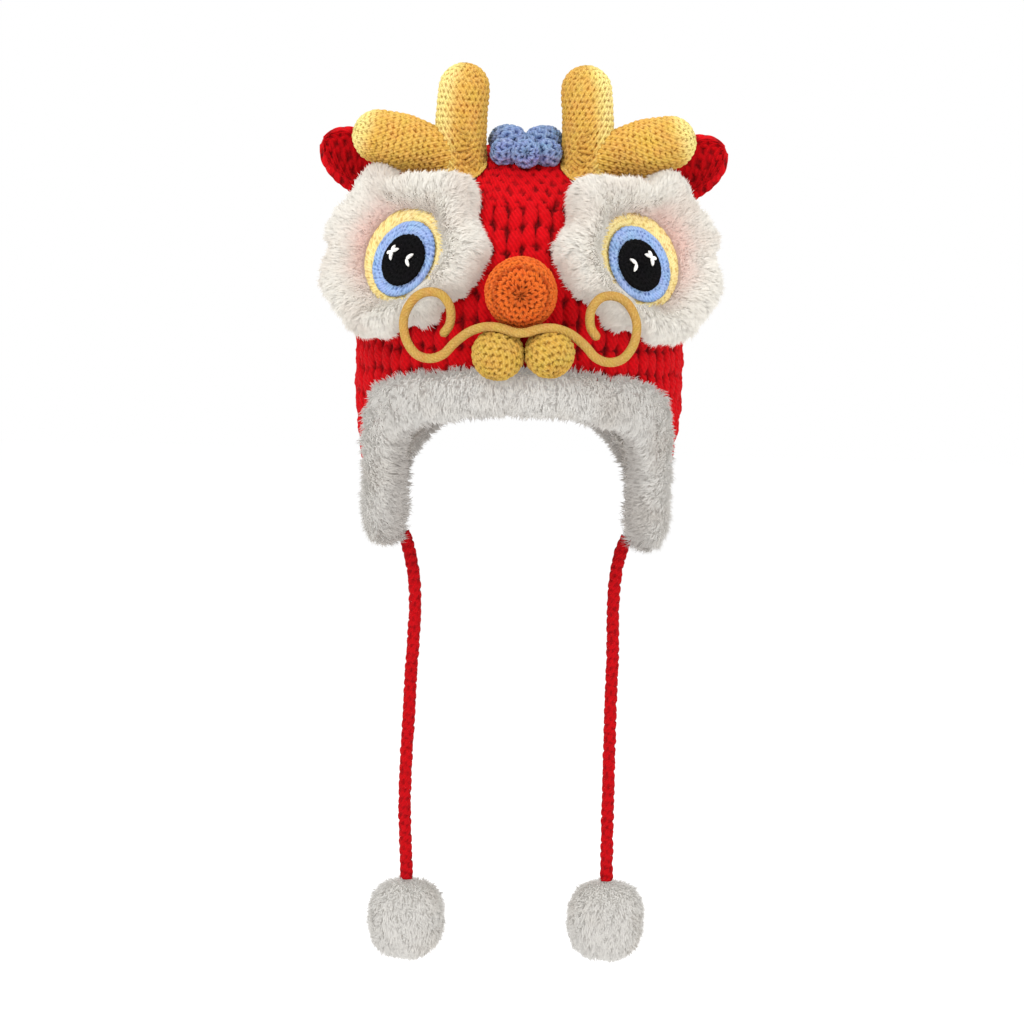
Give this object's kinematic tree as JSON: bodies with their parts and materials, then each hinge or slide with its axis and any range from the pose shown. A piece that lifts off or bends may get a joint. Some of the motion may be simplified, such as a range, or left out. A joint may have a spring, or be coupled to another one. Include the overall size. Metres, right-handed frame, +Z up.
{
  "type": "dragon costume hat",
  "caption": "Child's crocheted dragon hat with plush lining, fur trim, ear flaps, antlers, ears, fur-ringed eyes, nose, curled whiskers and ties ending in pompoms.",
  "frame": {"origin": "top of the head hollow inside the lining, where the hat sits on a head", "axes": "+Z up, out of the top of the crown; the face looks along -Y; +X is to the right of someone who looks at the face, so the pieces named right are on +X and those named left on -X"},
  "size_m": [0.2188, 0.2411, 0.4813],
  "materials": {
    "red_yarn": "thick soft acrylic yarn, crocheted",
    "red_cord": "red yarn crocheted into a round cord",
    "gold_yarn": "fine yellow yarn, crocheted tight over a filling",
    "whisker_cord": "golden yarn wound on a bendable core",
    "orange_yarn": "fine orange yarn, crocheted tight over a filling",
    "yellow_yarn": "fine pale yellow yarn, crocheted flat",
    "blue_yarn": "fine mid-blue yarn, crocheted",
    "black_yarn": "fine black yarn, crocheted flat",
    "white_fur": "deep soft faux fur in tufts",
    "white_plush": "short curly plush"
  },
  "bodies": {
    "root": {"crown": "red_yarn", "lining": "white_plush", "fur_trim": "white_fur", "eye_patch_left": "white_fur", "eye_patch_right": "white_fur", "eye_rim_left": "yellow_yarn", "eye_rim_right": "yellow_yarn", "iris_left": "blue_yarn", "iris_right": "blue_yarn", "pupil_left": "black_yarn", "pupil_right": "black_yarn", "nose": "orange_yarn", "muzzle_ball_left": "gold_yarn", "muzzle_ball_right": "gold_yarn", "whiskers": "whisker_cord", "antler_left": "gold_yarn", "antler_right": "gold_yarn", "ear_left": "red_yarn", "ear_right": "red_yarn", "bobble_flower": "blue_yarn", "tie_left": "red_cord", "tie_right": "red_cord", "pompom_left": "white_fur", "pompom_right": "white_fur"}
  },
  "joints": []
}
